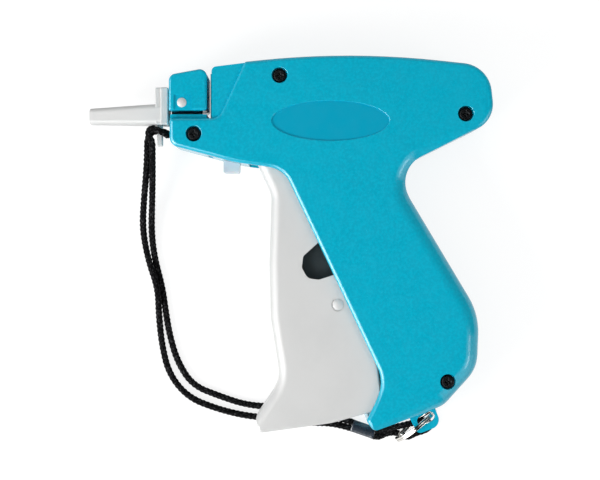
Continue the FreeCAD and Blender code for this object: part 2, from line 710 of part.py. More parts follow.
def drive_lever():
    """The two-armed lever between the trigger's link pin and the slide."""
    z0, z1 = MID - LEVER_THICK / 2, MID + LEVER_THICK / 2
    arms = []
    for pin_at, radius, rim in (
        (link_pin_at, LINK_R, ARM_RIM[0]), (slide_pin_at, SLIDE_PIN_R, ARM_RIM[1])
    ):
        angle, near, far, drift = pin_track(pin_at)
        print("slot", round(angle, 1), round(near, 2), round(far, 2), "drift", round(drift, 2))
        arms.append(slotted_arm(angle, near, far, radius + drift + PIN_FIT, rim, z0, z1))
    (lower, lower_slot), (upper, upper_slot) = arms
    hub = post(*LEVER_PIVOT, z0 - LEVER_HUB_RISE, z1 + LEVER_HUB_RISE, LEVER_HUB_R)
    lever = post(*LEVER_PIVOT, z0, z1, LEVER_DISC_R).fuse(hub).fuse(upper).fuse(lower)
    lever = lever.cut(upper_slot).cut(lower_slot).removeSplitter()
    return lever.cut(post(*LEVER_PIVOT, 0, THICKNESS, AXLE_R + PIN_FIT))


def pusher_slide():
    """The forked slide that the lever's upper end pushes forward."""
    x, y = SLIDE_PIN
    slide = box(x + SLIDE_X[0], x + SLIDE_X[1], y - SLIDE_HALF, y + SLIDE_HALF, *SLIDE_Z)
    slide = round_edges(slide, SLIDE_ROUND, lambda e: e.BoundBox.ZLength > 5)
    gap = LEVER_THICK / 2 + RUN
    front = x + SLIDE_X[0]
    fork = front + SLIDE_WEB
    slide = slide.cut(box(fork, x + 2 * SLIDE_X[1], y - 9, y + 9, MID - gap, MID + gap))
    slide = slide.cut(post(x, y, 0, THICKNESS, SLIDE_PIN_R))
    return slide.cut(bar_x(front - 1, fork + 1, y, MID, ROD_R))


def slide_pin():
    return post(*SLIDE_PIN, SLIDE_Z[0] + 0.2, SLIDE_Z[1] - 0.2, SLIDE_PIN_R)


def push_rod():
    """The thin steel rod that drives a tag's bar through the needle."""
    return bar_x(ROD_TIP_X, SLIDE_PIN[0] + SLIDE_X[0] + SLIDE_WEB, NEEDLE_Y, MID, ROD_R)


def feed_wheel():
    """The toothed wheel that brings up the clip of tags."""
    root_r = WHEEL_R - TOOTH_DEPTH
    z0, z1 = MID - WHEEL_THICK / 2, MID + WHEEL_THICK / 2
    wheel = post(*WHEEL_AXIS, z0, z1, root_r)
    pitch = 360.0 / WHEEL_TEETH
    for i in range(WHEEL_TEETH):
        angle = math.radians(i * pitch)
        lean = math.radians(i * pitch + pitch * 0.62)
        start = math.radians(i * pitch - 2)
        low = root_r - TOOTH_ROOT
        points = [(low, start), (WHEEL_R, angle), (WHEEL_R, angle + 0.06), (low, lean)]
        tooth = [
            (WHEEL_AXIS[0] + r * math.cos(a), WHEEL_AXIS[1] + r * math.sin(a), 0)
            for r, a in points
        ]
        wheel = wheel.fuse(prism(tooth, z0, z1))
    return wheel.cut(post(*WHEEL_AXIS, 0, THICKNESS, FEED_AXLE_R + PIN_FIT))


def feed_axle():
    return post(*WHEEL_AXIS, PIN_HOLE_END, THICKNESS - PIN_HOLE_END, FEED_AXLE_R)


def index_pawl():
    """The pawl that turns the feed wheel on by a tooth."""
    x, y = PAWL_PIVOT
    tip_x, tip_y = PAWL_TIP
    outline = [
        (tip_x, tip_y, 0.2),
        (x, y + PAWL_BODY_R, 1.0),
        (x + PAWL_BODY_R, y, 1.6),
        (x, y - PAWL_BODY_R, 1.6),
        (tip_x + 1.6, y - 1.2, 0.6),
    ]
    hub_r, hub_half = PAWL_HUB
    pawl = prism(outline, MID - PAWL_HALF, MID + PAWL_HALF)
    pawl = pawl.fuse(post(x, y, MID - hub_half, MID + hub_half, hub_r))
    return pawl.cut(post(x, y, 0, THICKNESS, PAWL_PIN_R + PIN_FIT))


def pawl_pin():
    return post(*PAWL_PIVOT, PIN_HOLE_END, THICKNESS - PIN_HOLE_END, PAWL_PIN_R)


def release_button():
    """The button under the nose; pressing it frees the clip of tags."""
    button = box(*BUTTON, BUTTON_FACE, BUTTON_FLANGE[1], *BUTTON_Z)
    button = round_edges(button, BUTTON_ROUND, lambda e: e.BoundBox.YMax < BUTTON_FACE + 0.01)
    lap = BUTTON_FLANGE_LAP
    flange = box(BUTTON[0] - lap, BUTTON[1] + lap, *BUTTON_FLANGE, *BUTTON_FLANGE_Z)
    return button.fuse(flange).removeSplitter()


def coil(turns, pitch, mean):
    """A helical spring standing on z = 0."""
    helix = Part.makeHelix(pitch, pitch * turns, mean)
    ring = Part.Circle(vec(mean, 0), vec(0, 1, 0), SPRING_WIRE_R).toShape()
    return Part.Wire(helix).makePipeShell([Part.Wire(ring)], True, True)


def button_spring():
    """Drawn at its pressed length, from the rib towards the button's flange."""
    length = SPRING_REST_Y - BUTTON_FLANGE[1] - BUTTON_TRAVEL - 2 * SPRING_WIRE_R - 0.1
    turns, mean = BUTTON_COIL
    spring = coil(turns, length / turns, mean)
    spring.rotate(vec(0, 0), vec(1, 0, 0), -90)
    x, z = BUTTON_SPRING
    spring.translate(vec(x, SPRING_REST_Y - SPRING_WIRE_R - length, z))
    return spring


def trigger_spring():
    """The torsion spring's coil round the trigger's pivot."""
    turns, pitch, mean = TRIGGER_COIL
    spring = coil(turns, pitch, mean)
    spring.translate(vec(*TRIGGER_PIVOT, MID - pitch * turns / 2))
    return spring


def ring_centre():
    """The ring stands on the table and reaches up through the ear."""
    z = RING_R + RING_RADIAL / 2
    rise = (EAR_Z[0] + EAR_Z[1]) / 2 - z
    reach = math.sqrt(RING_R ** 2 - rise ** 2)
    turn = math.radians(RING_TURN)
    return (
        RING_HOOK[0] - reach * math.cos(turn),
        RING_HOOK[1] - reach * math.sin(turn),
        z,
    )


def split_ring():
    """A split ring of two coils, drawn as one ring with a groove round it."""
    outer = RING_R + RING_RADIAL / 2
    half = RING_AXIAL / 2
    ring = Part.makeCylinder(outer, 2 * half, vec(0, 0, -half))
    ring = ring.cut(Part.makeCylinder(outer - RING_RADIAL, 4, vec(0, 0, -2)))
    ring = round_edges(ring, RING_ROUND, lambda e: e.BoundBox.ZLength < 1e-4)
    wide, deep = RING_GROOVE
    groove = Part.makeCylinder(outer + 1, wide, vec(0, 0, -wide / 2))
    groove = groove.cut(Part.makeCylinder(outer - deep, 1, vec(0, 0, -0.5)))
    ring = ring.cut(groove)
    ring.rotate(vec(0, 0), vec(1, 0, 0), 90)
    ring.rotate(vec(0, 0), vec(0, 0, 1), RING_TURN)
    ring.translate(vec(*ring_centre()))
    return ring


def in_sleeve(along_x, side):
    """A point in the sleeve's own frame."""
    turn = math.radians(SLEEVE_TURN)
    return (
        SLEEVE_CENTRE[0] + along_x * math.cos(turn) - side * math.sin(turn),
        SLEEVE_CENTRE[1] + along_x * math.sin(turn) + side * math.cos(turn),
        SLEEVE_Z,
    )


def crimp_sleeve():
    """The flattened sleeve that holds both cords."""
    length, width, height = SLEEVE_SIZE
    sleeve = box(-length / 2, length / 2, -width / 2, width / 2, 0, height)
    sleeve = round_edges(sleeve, SLEEVE_ROUND, lambda e: e.BoundBox.XLength > length - 0.1)
    sleeve.rotate(vec(0, 0), vec(0, 0, 1), SLEEVE_TURN)
    sleeve.translate(vec(*SLEEVE_CENTRE))
    return sleeve


def cord_path(name, points):
    """Straight runs joined by tangent arcs, as large as the runs allow."""
    points = [vec(*p) for p in points]
    edges = []
    start = points[0]
    radii = []
    for before, here, after in zip(points, points[1:], points[2:]):
        back, on = before - here, after - here
        reach = 0.45 * min(back.Length, on.Length)
        back.normalize()
        on.normalize()
        half = back.getAngle(on) / 2
        radius = reach * math.tan(half)
        radii.append(round(radius, 1))
        inward = back + on
        inward.normalize()
        middle = here + inward * (radius / math.sin(half) - radius)
        first, last = here + back * reach, here + on * reach
        edges.append(Part.LineSegment(start, first).toShape())
        edges.append(Part.Arc(first, middle, last).toShape())
        start = last
    edges.append(Part.LineSegment(start, points[-1]).toShape())
    print(name, "bend radii", radii)
    return Part.Wire(edges)


def cord_tube(name, points):
    """A round cord along its path."""
    path = cord_path(name, points)
    start = vec(*points[0])
    ring = Part.Circle(start, vec(*points[1]) - start, CORD_D / 2).toShape()
    tube = path.makePipeShell([Part.Wire(ring)], True, False)
    expected = math.pi * CORD_D ** 2 / 4 * path.Length
    print(name, "length", round(path.Length, 1), "volume ratio", round(tube.Volume / expected, 4))
    return tube


SLEEVE_END = SLEEVE_SIZE[0] / 2
OUTER_ROUTE = [
    in_sleeve(-SLEEVE_END, -CORD_LANE),
    in_sleeve(-SLEEVE_END - 6.5, -CORD_LANE),
    (6.5, -72.9, CORD_Z),
    (-6.5, -71.1, CORD_Z),
    (-19.2, -70.0, CORD_Z),
    (-31.5, -66.9, CORD_Z),
    (-43.1, -62.2, CORD_Z),
    (-50.9, -52.6, CORD_Z),
    (-53.9, -40.4, CORD_Z),
    (-55.1, -28.0, CORD_Z + 0.3),
    (-55.3, -16.5, CORD_Z + 2.7),
    (-59.6, -4.5, CORD_Z + 1.2),
    (-61.9, 8.0, CORD_Z + 1.0),
    (-60.9, 20.0, CORD_Z + 5.0),
    (-60.0, 31.0, CORD_Z + 9.5),
    (-59.5, 40.3, CORD_Z + 11.8),
]
INNER_ROUTE = [
    in_sleeve(-SLEEVE_END, CORD_LANE),
    in_sleeve(-SLEEVE_END - 6.5, CORD_LANE),
    (7.0, -69.2, CORD_Z),
    (-6.0, -66.4, CORD_Z),
    (-18.6, -65.5, CORD_Z),
    (-29.8, -61.8, CORD_Z),
    (-41.1, -57.3, CORD_Z),
    (-47.5, -47.2, CORD_Z),
    (-50.7, -36.0, CORD_Z),
    (-52.2, -27.0, CORD_Z),
    (-53.6, -16.5, CORD_Z),
    (-56.9, -4.5, CORD_Z),
    (-58.2, 7.0, CORD_Z + 1.0),
    (-57.5, 19.0, CORD_Z + 4.7),
    (-56.7, 30.5, CORD_Z + 9.3),
    (-56.7, 40.3, CORD_Z + 12.3),
]
HITCH_ROUTE = [
    OUTER_ROUTE[-1],
    (-59.3, 44.02, CORD_Z + 12.72),
    (-57.8, 47.5, CORD_Z + 10.0),
    (-54.3, 48.5, CORD_Z + 8.8),
    (-50.55, 47.4, CORD_Z + 9.2),
    (-50.4, 46.1, CORD_Z + 12.8),
    (-50.65, 46.5, CORD_Z + 15.9),
    (-53.8, 48.0, CORD_Z + 16.5),
    (-57.0, 49.0, CORD_Z + 16.5),
    (-58.2, 46.6, CORD_Z + 15.8),
    (-56.7, 43.73, CORD_Z + 13.35),
    INNER_ROUTE[-1],
]
TAIL_ROUTE = [
    in_sleeve(SLEEVE_END, CORD_LANE),
    in_sleeve(SLEEVE_END + 2.0, CORD_LANE),
    (41.0, -74.9, 2.8),
    (46.0, -73.7, 5.2),
    (51.6, -72.3, 4.7),
    (55.2, -71.7, 3.4),
    (57.8, -72.4, 2.7),
    (57.8, -75.0, 1.9),
    (55.2, -76.4, 1.4),
    (51.9, -77.3, CORD_Z),
    (48.4, -79.2, CORD_Z),
    (44.6, -77.4, CORD_Z),
    (40.0, -77.6, CORD_Z),
    in_sleeve(SLEEVE_END + 2.0, -CORD_LANE),
    in_sleeve(SLEEVE_END, -CORD_LANE),
]


def save_lanyard():
    save("lanyard_outer_strand", cord_tube("outer strand", OUTER_ROUTE))
    save("lanyard_inner_strand", cord_tube("inner strand", INNER_ROUTE))
    save("lanyard_hitch", cord_tube("hitch", HITCH_ROUTE))
    save("lanyard_tail", cord_tube("tail", TAIL_ROUTE))


def main():
    os.makedirs("parts", exist_ok=True)
    left, right = shells()
    save("left_shell", left)
    save("right_shell", right)
    for piece in (
        case_screws, nose_cover, cover_pin, needle_bed, needle, needle_hub, cutter_blade,
        magazine_guide, needle_cap, trigger, link_pin, trigger_pivot_pin, lever_axle,
        drive_lever, pusher_slide, slide_pin, push_rod, feed_wheel, feed_axle, index_pawl,
        pawl_pin, trigger_spring, release_button, button_spring, split_ring, crimp_sleeve,
    ):
        save(piece.__name__, piece())
    save_lanyard()


main()
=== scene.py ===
import json
import math

import bmesh
import bpy
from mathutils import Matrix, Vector


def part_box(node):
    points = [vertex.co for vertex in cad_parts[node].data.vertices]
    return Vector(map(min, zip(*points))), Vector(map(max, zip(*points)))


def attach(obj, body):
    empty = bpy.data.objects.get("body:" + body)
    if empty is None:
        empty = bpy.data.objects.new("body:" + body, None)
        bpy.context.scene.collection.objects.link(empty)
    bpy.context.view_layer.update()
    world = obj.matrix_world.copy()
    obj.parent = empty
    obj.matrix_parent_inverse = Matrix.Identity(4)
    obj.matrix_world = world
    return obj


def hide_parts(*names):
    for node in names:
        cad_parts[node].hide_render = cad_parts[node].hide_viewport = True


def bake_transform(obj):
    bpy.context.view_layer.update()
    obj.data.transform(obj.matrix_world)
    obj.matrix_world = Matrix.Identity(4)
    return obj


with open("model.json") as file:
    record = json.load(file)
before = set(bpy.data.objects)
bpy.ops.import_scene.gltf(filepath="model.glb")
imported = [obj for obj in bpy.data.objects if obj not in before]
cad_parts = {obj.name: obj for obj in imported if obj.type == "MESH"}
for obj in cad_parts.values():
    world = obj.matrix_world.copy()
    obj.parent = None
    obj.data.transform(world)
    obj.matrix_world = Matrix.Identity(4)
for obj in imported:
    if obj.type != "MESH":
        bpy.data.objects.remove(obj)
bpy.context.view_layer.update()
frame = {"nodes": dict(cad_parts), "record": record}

# A garment tag attacher lying on its right side: +Z up, the nose along -X.
# Sizes and places are millimetres and angles degrees, where nothing else is said.
MM = 0.001

# ---- Photograph's frame ----
VIEW_CENTRE = (3.8, 3.4)      # what the middle of the image shows
VIEW_HEIGHT = 628.0           # camera above the table
LENS = 90.0                   # focal length
SENSOR = 36.0                 # width
VIEW_DEPTH = 20.0             # metres

# ---- Cord and sleeve, as in the part's source ----
CORD_D = 2.6
CORD_Z = CORD_D / 2 + 0.01    # middle of a cord that lies on the table
CORD_LANE = 1.32              # from the sleeve's middle line to the middle of each cord
SLEEVE_CENTRE = (30.2, -75.6)
SLEEVE_TURN = -19.0
SLEEVE_SIZE = (10.0, 5.3, 2.9)
SLEEVE_END = SLEEVE_SIZE[0] / 2
SLEEVE_Z = SLEEVE_SIZE[2] / 2


def in_sleeve(along, side):
    """A point in the sleeve's own frame."""
    turn = math.radians(SLEEVE_TURN)
    return (
        SLEEVE_CENTRE[0] + along * math.cos(turn) - side * math.sin(turn),
        SLEEVE_CENTRE[1] + along * math.sin(turn) + side * math.cos(turn),
        SLEEVE_Z,
    )


# Control points of the cords' smooth lines, as in the part's source, but for eight that are moved
# by up to about 1 mm: the last two of each strand, the hitch's second and last but one, and two of
# the tail's lower run.
OUTER_ROUTE = [
    in_sleeve(-SLEEVE_END, -CORD_LANE),
    in_sleeve(-SLEEVE_END - 6.5, -CORD_LANE),
    (6.5, -72.9, CORD_Z),
    (-6.5, -71.1, CORD_Z),
    (-19.2, -70.0, CORD_Z),
    (-31.5, -66.9, CORD_Z),
    (-43.1, -62.2, CORD_Z),
    (-50.9, -52.6, CORD_Z),
    (-53.9, -40.4, CORD_Z),
    (-55.1, -28.0, CORD_Z + 0.3),
    (-55.3, -16.5, CORD_Z + 2.7),
    (-59.6, -4.5, CORD_Z + 1.2),
    (-61.9, 8.0, CORD_Z + 1.0),
    (-60.9, 20.0, CORD_Z + 5.0),
    (-59.5, 31.0, CORD_Z + 8.6),
    (-58.9, 40.3, CORD_Z + 11.0),
]
INNER_ROUTE = [
    in_sleeve(-SLEEVE_END, CORD_LANE),
    in_sleeve(-SLEEVE_END - 6.5, CORD_LANE),
    (7.0, -69.2, CORD_Z),
    (-6.0, -66.4, CORD_Z),
    (-18.6, -65.5, CORD_Z),
    (-29.8, -61.8, CORD_Z),
    (-41.1, -57.3, CORD_Z),
    (-47.5, -47.2, CORD_Z),
    (-50.7, -36.0, CORD_Z),
    (-52.2, -27.0, CORD_Z),
    (-53.6, -16.5, CORD_Z),
    (-56.9, -4.5, CORD_Z),
    (-58.2, 7.0, CORD_Z + 1.0),
    (-57.5, 19.0, CORD_Z + 4.7),
    (-56.8, 30.5, CORD_Z + 10.2),
    (-56.6, 40.3, CORD_Z + 12.8),
]
HITCH_ROUTE = [
    OUTER_ROUTE[-1],
    (-58.8, 44.0, CORD_Z + 12.2),
    (-57.8, 47.5, CORD_Z + 10.0),
    (-54.3, 48.5, CORD_Z + 8.8),
    (-50.55, 47.4, CORD_Z + 9.2),
    (-50.4, 46.1, CORD_Z + 12.8),
    (-50.65, 46.5, CORD_Z + 15.9),
    (-53.8, 48.0, CORD_Z + 16.5),
    (-57.0, 49.0, CORD_Z + 16.5),
    (-58.2, 46.6, CORD_Z + 15.8),
    (-56.6, 43.7, CORD_Z + 13.8),
    INNER_ROUTE[-1],
]
TAIL_ROUTE = [
    in_sleeve(SLEEVE_END, CORD_LANE),
    in_sleeve(SLEEVE_END + 2.0, CORD_LANE),
    (41.0, -74.9, 2.8),
    (46.0, -73.7, 5.2),
    (51.6, -72.3, 4.7),
    (55.2, -71.7, 3.4),
    (57.8, -72.4, 2.7),
    (57.8, -75.0, 1.9),
    (55.2, -76.4, 1.4),
    (51.9, -77.3, CORD_Z),
    (48.4, -79.2, CORD_Z),
    (44.2, -76.8, CORD_Z),
    (39.8, -77.2, CORD_Z),
    in_sleeve(SLEEVE_END + 2.0, -CORD_LANE),
    in_sleeve(SLEEVE_END, -CORD_LANE),
]

# ---- Cord's braid ----
BRAID_SIDES = 32              # points round a cord
BRAID_STEP = 0.22             # distance between rings of points
BRAID_CARRIERS = 4            # strands each way round
BRAID_PITCH = 7.5             # one turn of a strand
BRAID_RELIEF = 0.34           # height of the strands
BRAID_PROUD = 0.13            # how far their tops stand outside the cord's own diameter
BRAID_SWELLS = ((0.015, 310.0), (0.012, 127.0))   # unevenness: share of the radius, radians a metre

# ---- Sleeve's form ----
SLEEVE_SIDES = 56
SLEEVE_SQUARENESS = 0.62      # exponent of its section: 1 is an ellipse, towards 0 a rectangle
SLEEVE_TAPER = [(-1.0, 0.84), (-0.995, 0.93), (-0.97, 0.985), (-0.92, 1.0), (-0.80, 0.985)]
SLEEVE_WAVES = 7              # stations between its tapered ends
SLEEVE_RIDGE = 0.10           # height
SLEEVE_RIDGE_WIDTH = 0.16     # radians

# ---- Ring: its main sizes and its turn are the part's source's ----
RING_R = 9.75                 # to the middle of its wire
RING_RADIAL = 1.3             # the wire's two sizes
RING_AXIAL = 1.8
RING_TURN = 38.7              # of the ring's plane, seen from above
RING_CORNER = 0.22            # rounding of the wire's edges
RING_COIL_GAP = 0.04          # between the two coils
RING_OPENS_AT = 205.0         # where the wire's two ends are
RING_STEP_OVER = 15.0         # half the step from coil to coil; the ends stop as far short of it
RING_STEPS = 300

# ---- Screws: their places and main sizes are the part's source's ----
SCREWS = [(-4.4, 69.4), (-38.8, 46.0), (70.2, 54.0), (63.0, -53.4)]   # centres
SCREW_TOP = 27.0
SCREW_HEAD = 1.8
SCREW_HEAD_R = 2.75
SCREW_R = 1.3
SCREW_TIP = 6.0
SCREW_SIDES = 96
CORE_R = 0.02                 # radius left open in the middle of a turned piece's end
HEAD_ROUND = (0.85, 0.6)      # rounding of the head's edge, across and down
HEAD_STEPS = 44               # points across the head's flat middle
EDGE_STEPS = 6                # points round its edge
NECK_FLARE = 0.1              # wider than the shank under the head, and narrower below that
NECK_LENGTH = 0.3
THREAD_TURNS = 22
THREAD_DEPTH = 0.28
THREAD_START = 0.6            # below the head
THREAD_CREST = 0.45           # the crest's place in each turn
POINT_LENGTH = 1.5            # below the thread
POINT_R = (1.0, 0.15)         # at its top and at its tip
POINT_GAP = 0.1               # from the thread's end to the point's top

# ---- Screws' driver recess: half sizes, and the widths of the slopes down from them ----
TOP_DEPTH = 0.3               # only what is nearer the top than this is sunk
ARM_SIDE, ARM_SIDE_SLOPE = 0.42, 0.14
ARM_END, ARM_END_SLOPE = 1.55, 0.40
ARM_DEPTH = 0.25
WELL, WELL_SLOPE = 1.30, 0.16
WELL_DEPTH = 0.55
WELL_LESS = 0.3               # the share of it left out where an arm already is
PIP, PIP_SLOPE = 0.45, 0.30
PIP_HEIGHT = 0.25

# ---- Label recess on the left shell, where the part's source has it; its floor gets painted shade ----
LABEL = (16.0, 51.2, 23.6, 8.0)   # centre x, y, half width, half height
LABEL_RIM = 0.985                 # share of the half sizes where the field begins to end
LABEL_BELOW = 27.0                # z under which nothing counts as the field
LABEL_BELOW_FADE = 0.1

# ---- Pins: their centres and radii are the part's source's ----
PIN_SIDES = 48
DOME_STEPS = 12               # points from a dome's middle to its edge
LINK_PIN = (19.1, -22.6)
LINK_PIN_R = 2.3
LINK_PIN_PROUD = 0.35         # how far each end stands out of the CAD pin's
LINK_PIN_DOME = 0.5
COVER_PIN = (-43.7, 58.6)
COVER_PIN_R = 1.9
COVER_PIN_Z = (1.3, 26.7)
COVER_PIN_DOME = 0.55

# ---- Floor and light ----
FLOOR_HALF = 3.0              # metres
FLOOR_COLOUR = 0.30
FLOOR_GLOW = 0.80             # keeps the floor near white
AMBIENT = 0.58                # the room's light on every surface
HORIZON = 0.8                 # how bright the room is in reflections, low down
ZENITH = 0.0                  # and straight up
ZENITH_FADE = (0.30, 0.85)    # from one to the other, as sines of the height
SIDE_DIM = 0.85               # how much darker the room is on the right, in reflections
SIDE_FADE = (0.05, 0.60)      # where that sets in, as the direction's x
SOFTBOX = (208.0, 36.0)       # azimuth and height of a round lit area in reflections
SOFTBOX_HALF = 34.0           # half width
SOFTBOX_FADE = 8.0
SOFTBOX_GLOW = 8.5
SCREEN = (-46.0, -6.0)        # azimuth of both sides of a lit upright screen in reflections
SCREEN_TOP = 62.0
SCREEN_EDGE = 0.02            # softness of its edges, as a cosine
SCREEN_GLOW = 1.8
LAMPS = {                     # place, target and size in metres, power in watts
    "key": ((-0.52, -0.30, 0.34), (0.0, -0.01, 0.01), (0.30, 0.26), 3.4),
    "window": ((0.75, -0.28, 0.62), (0.02, 0.0, 0.01), (0.34, 0.22), 1.3),
}

# ---- Colours, linear ----
TEAL_MOTTLE = ((0.0006, 0.382, 0.551), (0.0010, 0.435, 0.615))
TEAL_CLOUD = (0.0012, 0.466, 0.647)
# painted shade: the darker tone of the label recess's floor
TEAL_LABEL_SHADE = (0.0007, 0.372, 0.560)
TEAL_FLECK = (0.02, 0.64, 0.80)
PALE = ((0.655, 0.658, 0.652), (0.625, 0.63, 0.624))
NYLON = ((0.60, 0.60, 0.55), (0.68, 0.68, 0.63))
ACETAL = ((0.050, 0.078, 0.088), (0.085, 0.120, 0.132))
MILKY = ((0.66, 0.72, 0.78), (0.76, 0.80, 0.84))
STEEL = ((0.56, 0.57, 0.58), (0.66, 0.66, 0.66))
NICKEL = ((0.72, 0.70, 0.66), (0.55, 0.53, 0.50))
OXIDE = ((0.006, 0.007, 0.008), (0.045, 0.055, 0.06))
VINYL = ((0.010, 0.016, 0.026), (0.022, 0.032, 0.046))
# the second, lighter tone is painted glints on the yarn
YARN_AND_GLINTS = ((0.0015, 0.0015, 0.0018), (0.050, 0.050, 0.053))


# ---- Camera ----
def make_camera():
    """Straight above the table, looking down."""
    data = bpy.data.cameras.new("camera")
    data.lens = LENS
    data.sensor_width = SENSOR
    data.clip_end = VIEW_DEPTH
    camera = bpy.data.objects.new("camera", data)
    bpy.context.collection.objects.link(camera)
    camera.location = (VIEW_CENTRE[0] * MM, VIEW_CENTRE[1] * MM, VIEW_HEIGHT * MM)
    bpy.context.scene.camera = camera


# ---- Node helpers ----
def new_material(name, **settings):
    """A material, its node tree and its Principled shader with some inputs set."""
    material = bpy.data.materials.new(name)
    material.use_nodes = True
    tree = material.node_tree
    shader = tree.nodes["Principled BSDF"]
    for socket, value in settings.items():
        shader.inputs[socket.replace("_", " ")].default_value = value
    return material, tree, shader


def add(tree, kind, **values):
    """A node with its input defaults and properties set."""
    node = tree.nodes.new(kind)
    for key, value in values.items():
        if key in node.inputs:
            node.inputs[key].default_value = value
        else:
            setattr(node, key, value)
    return node


def feed(tree, socket, value):
    """Links a node's output to a socket, or sets a plain value on it."""
    if isinstance(value, bpy.types.NodeSocket):
        tree.links.new(value, socket)
    else:
        socket.default_value = value


def object_space(tree, scale=(1.0, 1.0, 1.0)):
    """Coordinates fixed to the piece, in metres times scale."""
    coords = add(tree, "ShaderNodeTexCoord")
    mapping = add(tree, "ShaderNodeMapping")
    mapping.inputs["Scale"].default_value = scale
    tree.links.new(coords.outputs["Object"], mapping.inputs["Vector"])
    return mapping.outputs["Vector"]


def noise(tree, vector, per_metre, detail, rough=0.5):
    """Cloudy noise from 0 to 1."""
    node = add(tree, "ShaderNodeTexNoise", Scale=per_metre, Detail=detail, Roughness=rough)
    tree.links.new(vector, node.inputs["Vector"])
    return node.outputs["Fac"]


def cells(tree, vector, per_metre):
    """A node of random cells, with a colour and a distance for each."""
    node = add(tree, "ShaderNodeTexVoronoi", Scale=per_metre)
    tree.links.new(vector, node.inputs["Vector"])
    return node


def ramp(tree, value, low, high, out_low=0.0, out_high=1.0):
    """Maps a value from one range to another, clamped and eased."""
    node = add(tree, "ShaderNodeMapRange", clamp=True, interpolation_type="SMOOTHSTEP")
    tree.links.new(value, node.inputs["Value"])
    ends = {"From Min": low, "From Max": high, "To Min": out_low, "To Max": out_high}
    for name, number in ends.items():
        node.inputs[name].default_value = number
    return node.outputs["Result"]


def mix_colour(tree, factor, first, second):
    """Goes from one colour to another with a factor; each is linear RGB or a node's output."""
    node = add(tree, "ShaderNodeMix", data_type="RGBA")
    tree.links.new(factor, node.inputs["Factor"])
    sockets = [socket for socket in node.inputs if socket.type == "RGBA"]
    for socket, value in zip(sockets, (first, second)):
        feed(tree, socket, (*value, 1.0) if isinstance(value, tuple) else value)
    return next(socket for socket in node.outputs if socket.type == "RGBA")


def maths(tree, operation, first, second):
    """One operation on two numbers, each plain or a node's output."""
    node = add(tree, "ShaderNodeMath", operation=operation)
    for socket, value in zip(node.inputs, (first, second)):
        feed(tree, socket, value)
    return node.outputs["Value"]


def dot_with(tree, direction, axis):
    """The cosine between a direction and a fixed axis."""
    node = add(tree, "ShaderNodeVectorMath", operation="DOT_PRODUCT")
    tree.links.new(direction, node.inputs[0])
    node.inputs[1].default_value = axis
    return node.outputs["Value"]


def bump(tree, shader, height, distance, strength, over=None):
    """Relief on the shader's surface, on top of another bump where one is given."""
    node = add(tree, "ShaderNodeBump", Strength=strength, Distance=distance)
    tree.links.new(height, node.inputs["Height"])
    if over is not None:
        tree.links.new(over, node.inputs["Normal"])
    tree.links.new(node.outputs["Normal"], shader.inputs["Normal"])
    return node.outputs["Normal"]


def paint(tree, shader, factor, tones):
    """Base colour that goes from the first tone to the second with a factor."""
    tree.links.new(mix_colour(tree, factor, *tones), shader.inputs["Base Color"])


def uneven_gloss(tree, shader, value, roughness):
    """Roughness that follows a noise between two values."""
    tree.links.new(ramp(tree, value, 0.3, 0.7, *roughness), shader.inputs["Roughness"])


# ---- Materials ----
def label_recess_shade(tree):
    """1 inside the oval label recess, whose floor is painted a little darker as shade, and 0 outside.
    """
    x, y, half_x, half_y = (value * MM for value in LABEL)
    coords = add(tree, "ShaderNodeTexCoord")
    mapping = add(tree, "ShaderNodeMapping")
    mapping.inputs["Scale"].default_value = (1 / half_x, 1 / half_y, 0.0)
    mapping.inputs["Location"].default_value = (-x / half_x, -y / half_y, 0.0)
    tree.links.new(coords.outputs["Object"], mapping.inputs["Vector"])
    length = add(tree, "ShaderNodeVectorMath", operation="LENGTH")
    tree.links.new(mapping.outputs["Vector"], length.inputs[0])
    split = add(tree, "ShaderNodeSeparateXYZ")
    tree.links.new(coords.outputs["Object"], split.inputs["Vector"])
    above = ramp(tree, split.outputs["Z"], LABEL_BELOW * MM, (LABEL_BELOW + LABEL_BELOW_FADE) * MM)
    inside = ramp(tree, length.outputs["Value"], LABEL_RIM, 1.0, 1.0, 0.0)
    return maths(tree, "MULTIPLY", inside, above)


def teal_plastic():
    """Glossy moulded ABS with a fine metallic fleck, a faint moulding mottle and painted shade on the
    label recess's floor.
    """
    material, tree, shader = new_material("teal_plastic", Specular_IOR_Level=0.45)
    where = object_space(tree)
    base = mix_colour(tree, noise(tree, where, 60.0, 3.0), *TEAL_MOTTLE)
    clouds = noise(tree, where, 900.0, 3.0, 0.6)
    base = mix_colour(tree, ramp(tree, clouds, 0.38, 0.66), base, TEAL_CLOUD)
    # painted shade: the label recess's floor is coloured darker than the rest
    base = mix_colour(tree, label_recess_shade(tree), base, TEAL_LABEL_SHADE)
    flakes = cells(tree, where, 2600.0)
    chosen = ramp(tree, flakes.outputs["Color"], 0.86, 0.99)
    inside = ramp(tree, flakes.outputs["Distance"], 0.15, 0.42, 1.0, 0.0)
    fleck = maths(tree, "MULTIPLY", maths(tree, "MULTIPLY", chosen, inside), 0.85)
    paint(tree, shader, fleck, (base, TEAL_FLECK))
    gloss = ramp(tree, noise(tree, where, 240.0, 4.0), 0.3, 0.7, 0.13, 0.19)
    rough = maths(tree, "ADD", gloss, maths(tree, "MULTIPLY", fleck, 0.12))
    tree.links.new(rough, shader.inputs["Roughness"])
    first = bump(tree, shader, clouds, 0.000030, 0.35)
    bump(tree, shader, flakes.outputs["Distance"], 0.000020, 0.20, over=first)
    return material


def pale_plastic():
    """White satin plastic with a faint moulding texture and slight grey handling marks."""
    material, tree, shader = new_material("pale_plastic", Specular_IOR_Level=0.45)
    where = object_space(tree)
    paint(tree, shader, ramp(tree, noise(tree, where, 35.0, 5.0, 0.62), 0.45, 0.75), PALE)
    uneven_gloss(tree, shader, noise(tree, where, 300.0, 4.0), (0.34, 0.46))
    bump(tree, shader, noise(tree, where, 1400.0, 3.0, 0.55), 0.000025, 0.35)
    return material


